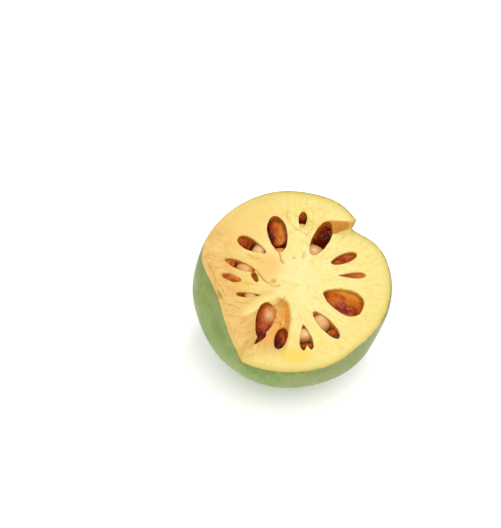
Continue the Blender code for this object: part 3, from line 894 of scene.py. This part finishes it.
def rind_material():
    look = Look("rind")
    patch, fine, place = look.noise(150, 4, 0.6), look.noise(900, 3, 0.6), look.read("place", True)
    edge = rind_edge(look, patch, fine, place)
    colour = look.mix(look.read("cut_band"), rind_skin(look, patch, fine), edge)
    to_bruise = node(look.tree, "VectorMath", {0: place, 1: BRUISE_AT}, operation="DISTANCE")
    bruise = look.span(to_bruise.outputs["Value"], 3.2, 0.8)
    colour = look.lay(colour, sRGB(168, 122, 56), bruise, look.span(fine, 0.3, 0.6, 0.5, 0.9))
    pitted = look.bump(look.span(look.spots(700), 0.0, 0.22), 0.2, 0.0002)
    normal = look.bump(look.noise(1500, 3, 0.6), 0.2, 0.00025, pitted)
    return look.finish(colour, look.span(patch, 0.3, 0.7, 0.4, 0.52), normal, Subsurface_Weight=0.04,
                       Subsurface_Scale=0.002, Specular_IOR_Level=0.28)


# Yellowish smudges on the face: place and stretch
SMUDGES = (((-22.9, -2.6, 0), (0.8, 2.2, 0)), ((-18.9, -1.4, 0), (0.6, 2.0, 0)),
           ((-15.6, 10.4, 0), (0.8, 1.6, 0)), ((-27.0, 7.0, 0), (1, 1, 0)))


class PulpLook(Look):
    """The pulp's material, with the places and patterns that its colours share."""

    def __init__(self):
        super().__init__("pulp")
        self.depth, self.place = self.read("depth"), self.read("place", True)
        self.u, self.v, _ = self.axes(self.place)
        self.from_pith = self.away((2.1, 2.4, 0.0))
        fibre = self.read("fibre", True)
        self.strands = self.noise(1.0, 5, 0.65, self.stretch(fibre, (26, 26, 9)))
        self.fine_strands = self.noise(1.0, 4, 0.6, self.stretch(fibre, (90, 90, 22)))
        self.blotch, self.flecks = self.noise(140, 4, 0.6), self.noise(420, 4, 0.65)

    def away(self, centre, stretch=(1, 1, 0)):
        """Distance from a place on the face, counted as longer along an axis with more stretch."""
        moved = [-c * s for c, s in zip(centre, stretch)]
        placed = node(self.tree, "Mapping", {"Vector": self.place, "Location": moved, "Scale": stretch})
        length = node(self.tree, "VectorMath", {0: placed.outputs["Vector"]}, operation="LENGTH")
        return length.outputs["Value"]

    def cut_clean(self):
        """Cream with darker strands, warmer toward the left, and with its own patches."""
        cream = self.ramp(self.span(self.from_pith, 0, 38), [
            (0.0, sRGB(254, 239, 168)), (0.3, sRGB(253, 238, 160)), (0.65, sRGB(252, 235, 152)),
            (1.0, sRGB(251, 228, 138))])
        cream = self.tint(cream, sRGB(249, 227, 142), self.blotch, 0.42, 0.66, 0.6)
        streak = self.span(self.strands, 0.48, 0.66, 0.0, 0.65)
        cream = self.lay(cream, sRGB(243, 211, 108), streak, self.span(self.from_pith, 5.0, 16.0, 0.3, 1.0))
        cream = self.tint(cream, sRGB(238, 204, 100), self.flecks, 0.54, 0.68, 0.45)
        warm = self.times(self.span(self.u, 4.0, -30.0), self.span(self.blotch, 0.2, 0.6, 0.75, 1.0))
        cream = self.lay(cream, sRGB(250, 208, 118), warm, self.span(self.v, -34.0, -24.0))
        cream = self.lay(cream, sRGB(248, 204, 116), self.read("peach"), 0.85)
        cream = self.tint(cream, sRGB(254, 218, 98), self.away((1.0, -31.8, 0), (1, 1.7, 0)), 9.0, 3.0, 0.85)
        sunny = self.times(self.span(self.away((7.0, 28.0, 0)), 8.0, 2.0), self.span(self.flecks, 0.48, 0.62))
        return self.lay(cream, sRGB(240, 214, 92), sunny, 0.8)

    def ripped(self):
        """Tan with paler strands, where the pulp was torn."""
        tan = self.mix(self.span(self.blotch, 0.38, 0.62), sRGB(240, 196, 112), sRGB(228, 174, 94))
        tan = self.tint(tan, sRGB(250, 220, 138), self.strands, 0.45, 0.7, 0.8)
        return self.tint(tan, sRGB(232, 172, 94), self.flecks, 0.55, 0.75, 0.5)

    def flap_and_veins(self, colour):
        """The flap painted lighter on its ridge as painted light and darker in its fold as painted shade, and
        the greenish yellow veins and smudges.
        """
        # Painted shade in the fold behind the flap.
        colour = self.lay(colour, sRGB(240, 194, 104), self.read("fold_shade"), 0.7)
        # Painted light on the flap's ridge.
        colour = self.lay(colour, sRGB(255, 239, 156), self.read("flap"), 0.85)
        veined = self.times(self.read("vein"), self.span(self.flecks, 0.35, 0.6, 0.3, 0.8))
        colour = self.mix(veined, colour, sRGB(232, 202, 84))
        flecked = self.span(self.flecks, 0.4, 0.55)
        for spot, stretch in SMUDGES:
            smudge = self.times(self.span(self.away(spot, stretch), 2.6, 0.6), flecked)
            colour = self.lay(colour, sRGB(236, 198, 76), smudge, 0.7)
        return colour

    def tongue_and_crack(self, colour):
        """Orange and amber on the tongue, the hollow's right wall and the crack's wall."""
        tongue = self.mix(self.span(self.strands, 0.4, 0.65), sRGB(250, 176, 78), sRGB(252, 194, 104))
        colour = self.mix(self.read("tongue"), colour, tongue)
        streaks = self.span(self.fine_strands, 0.35, 0.62)
        basin = self.times(self.span(self.read("basin"), 0.06, 0.4), self.span(self.u, -8.0, -4.5))
        basin = self.times(basin, self.span(self.v, -26.0, -20.0))
        colour = self.mix(basin, colour, self.mix(streaks, sRGB(234, 136, 36), sRGB(254, 196, 90)))
        amber = self.mix(streaks, sRGB(212, 138, 30), sRGB(224, 162, 58))
        return self.mix(self.read("crack"), colour, amber)

    def fine_cracks(self, colour):
        """Brown lines with a tan border, a little wavy, and a small brown spot in the middle."""
        away, strength, border = self.axes(self.read("creased", True))
        wavy = self.plus(away, self.span(self.noise(900, 3), 0.3, 0.7, -0.7, 0.7))
        line = self.times(self.span(self.calc("ABSOLUTE", wavy), 1.2, 0.4), strength)
        colour = self.lay(colour, sRGB(238, 190, 108), border, 0.45)
        colour = self.lay(colour, sRGB(188, 116, 48), line, 0.85)
        return self.tint(colour, sRGB(226, 142, 66), self.away((-7.8, 0.0, 0)), 1.6, 0.3, 0.75)

    def cell_walls(self, colour):
        """Orange going down to dark brown in the cells, and the gash beside the ninth."""
        wall = self.ramp(self.span(self.depth, 0.1, 9.0), [
            (0.0, sRGB(246, 194, 106)), (0.08, sRGB(240, 170, 76)), (0.3, sRGB(226, 140, 54)),
            (0.6, sRGB(206, 112, 38)), (1.0, sRGB(164, 72, 24))])
        wall = self.tint(wall, sRGB(226, 150, 60), self.fine_strands, 0.4, 0.7, 0.4)
        wall = self.lay(wall, sRGB(190, 92, 22), self.read("stain"), self.span(self.depth, 0.3, 1.2))
        colour = self.mix(self.span(self.depth, 0.25, 0.8), colour, wall)
        return self.mix(self.read("gash"), colour, sRGB(168, 70, 14))


def pulp_material():
    look = PulpLook()
    colour = look.lay(look.cut_clean(), look.ripped(), look.read("torn"), 0.9)
    for paint_over in (look.flap_and_veins, look.tongue_and_crack, look.fine_cracks, look.cell_walls):
        colour = paint_over(colour)
    moist = look.span(look.depth, 0.1, 0.6, 0.0, 0.3)
    roughness = look.calc("SUBTRACT", look.span(look.blotch, 0.3, 0.7, 0.5, 0.62), moist)
    drawn_out = look.times(look.fine_strands, look.span(look.from_pith, 4.0, 16.0, 0.15, 0.6))
    height = look.plus(drawn_out, look.times(look.flecks, 0.5))
    return look.finish(colour, roughness, look.bump(height, 0.35, 0.0004), Subsurface_Weight=0.5,
                       Subsurface_Scale=0.005, Specular_IOR_Level=0.3)


def gum_material():
    look = Look("gum")
    broad, fine = look.noise(210, 3, 0.5), look.noise(700, 4, 0.6)
    grain = look.noise(1.0, 4, 0.6, look.stretch(look.read("grain", True), (2.2, 2.2, 0.35)))
    # The tone read here carries painted light, lighter toward each cell's lit side.
    tone = look.plus(look.read("tone"), look.span(broad, 0.38, 0.62, -0.16, 0.16))
    tone = look.plus(tone, look.span(grain, 0.35, 0.65, -0.1, 0.1))
    tone = look.plus(tone, look.times(look.read("edge"), 0.15))
    colour = look.ramp(tone, [(0.0, sRGB(92, 18, 4)), (0.25, sRGB(144, 44, 6)), (0.5, sRGB(190, 86, 14)),
                              (0.75, sRGB(222, 124, 34)), (1.0, sRGB(238, 154, 62))])
    colour = look.tint(colour, sRGB(140, 50, 10), fine, 0.5, 0.75, 0.25)
    # Orange ledge of the fifth gum, painted lighter where it faces the light.
    lit_ledge = look.mix(look.span(grain, 0.35, 0.65), sRGB(228, 138, 34), sRGB(244, 168, 62))
    colour = look.mix(look.read("lit_ledge"), colour, lit_ledge)
    # Pale patch on the ninth gum: a painted highlight.
    colour = look.lay(colour, sRGB(236, 190, 142), look.read("clear"), 0.9)
    # Dark maroon where the gum meets the wall below its top: painted shade in that crevice.
    colour = look.mix(look.read("crevice_shade"), colour, sRGB(110, 30, 4))
    normal = look.bump(look.plus(look.noise(260, 3, 0.5), look.times(grain, 0.4)), 0.3, 0.0006)
    return look.finish(colour, look.span(fine, 0.3, 0.7, 0.18, 0.32), normal, Coat_Weight=0.14,
                       Coat_Roughness=0.1, Specular_IOR_Level=0.04, Subsurface_Weight=0.5,
                       Subsurface_Scale=0.005)


def seed_material():
    look = Look("seed")
    streaks = look.noise(1.0, 4, 0.6, look.stretch(look.read("grain", True), (2.4, 2.4, 0.4)))
    broad = look.noise(300, 3, 0.5)
    colour = look.mix(look.span(broad, 0.35, 0.65), sRGB(246, 202, 136), sRGB(236, 174, 102))
    colour = look.tint(colour, sRGB(206, 128, 66), streaks, 0.5, 0.72, 0.5)
    colour = look.lay(colour, sRGB(214, 128, 58), look.read("edge"), 0.35)
    colour = look.mix(look.read("coated"), colour, sRGB(224, 136, 58))
    return look.finish(colour, 0.28, look.bump(streaks, 0.4, 0.0005), Coat_Weight=0.3, Coat_Roughness=0.12,
                       Specular_IOR_Level=0.25, Subsurface_Weight=0.3, Subsurface_Scale=0.003)


def keep(piece, replaced, material):
    piece.data.materials.clear()
    piece.data.materials.append(material)
    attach(piece, "root")
    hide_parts(replaced)


AIM = (0, 0, 0.03)
FLOOR_HALF = 3.0


def area(name, place, size, power):
    """Round lamp that points at the fruit."""
    lamp = bpy.data.lights.new(name, "AREA")
    lamp.shape, lamp.size, lamp.energy = "DISK", size, power
    made = bpy.data.objects.new(name, lamp)
    made.location = place
    made.rotation_mode = "QUATERNION"
    made.rotation_quaternion = (Vector(AIM) - Vector(place)).to_track_quat("-Z", "Y")
    bpy.context.scene.collection.objects.link(made)


def stage():
    scene = bpy.context.scene
    mesh = bpy.data.meshes.new("floor")
    corners = [(x * FLOOR_HALF, y * FLOOR_HALF, 0) for x, y in ((-1, -1), (1, -1), (1, 1), (-1, 1))]
    mesh.from_pydata(corners, [], [(0, 1, 2, 3)])
    floor = bpy.data.objects.new("floor", mesh)
    scene.collection.objects.link(floor)
    pale = Look("floor")
    shade = pale.mix(pale.noise(3.0, 2), (0.93, 0.93, 0.93, 1), (0.96, 0.96, 0.955, 1))
    mesh.materials.append(pale.finish(shade, 0.7, Emission_Color=(1, 1, 1, 1), Emission_Strength=0.16))

    world = bpy.data.worlds.new("studio")
    world.use_nodes = True
    background = world.node_tree.nodes["Background"]
    background.inputs["Color"].default_value = (1, 1, 1, 1)
    background.inputs["Strength"].default_value = 0.88
    scene.world = world
    area("key", (0.18, 0.38, 0.84), 0.16, 1.6)
    area("fill", (0.22, -0.42, 0.88), 0.8, 4.6)
    scene.view_settings.view_transform = "Standard"


# The picture is 501 by 528; the fruit's middle falls at these pixels and a millimetre spans this many
PICTURE = (501, 528)
MIDDLE_AT = (292.2, 289.1)
PIXELS_PER_MM = 2.5
CAMERA_RISE = 50.0
CAMERA_DISTANCE = 1200.0


def camera():
    lift = math.radians(CAMERA_RISE)
    right, up = Vector((1, 0, 0)), Vector((0, math.sin(lift), math.cos(lift)))
    back = Vector((0, -math.cos(lift), math.sin(lift)))
    aside = (MIDDLE_AT[0] - PICTURE[0] / 2) / PIXELS_PER_MM
    down = (MIDDLE_AT[1] - PICTURE[1] / 2) / PIXELS_PER_MM
    place = Vector(CENTRE) + back * CAMERA_DISTANCE - right * aside + up * down
    lens = bpy.data.cameras.new("camera")
    lens.lens = lens.sensor_width * CAMERA_DISTANCE * PIXELS_PER_MM / max(PICTURE)
    lens.clip_start, lens.clip_end = 0.05, 20.0
    made = bpy.data.objects.new("camera", lens)
    made.matrix_world = Matrix.Translation(place * MM) @ Matrix((right, up, back)).transposed().to_4x4()
    bpy.context.scene.collection.objects.link(made)
    bpy.context.scene.camera = made


def main():
    keep(build_rind(), "rind", rind_material())
    keep(build_pulp(), "pulp", pulp_material())
    amber = gum_material()
    for name, form in GUM.items():
        keep(lump(name, *form, 0, GUM_SWELL, FACETS.get(name, PLAIN_FACETS)), name, amber)
    pale = seed_material()
    for name, form in SEEDS.items():
        keep(lump(name, *form, 40, SEED_SWELL), name, pale)
    stage()
    camera()


main()
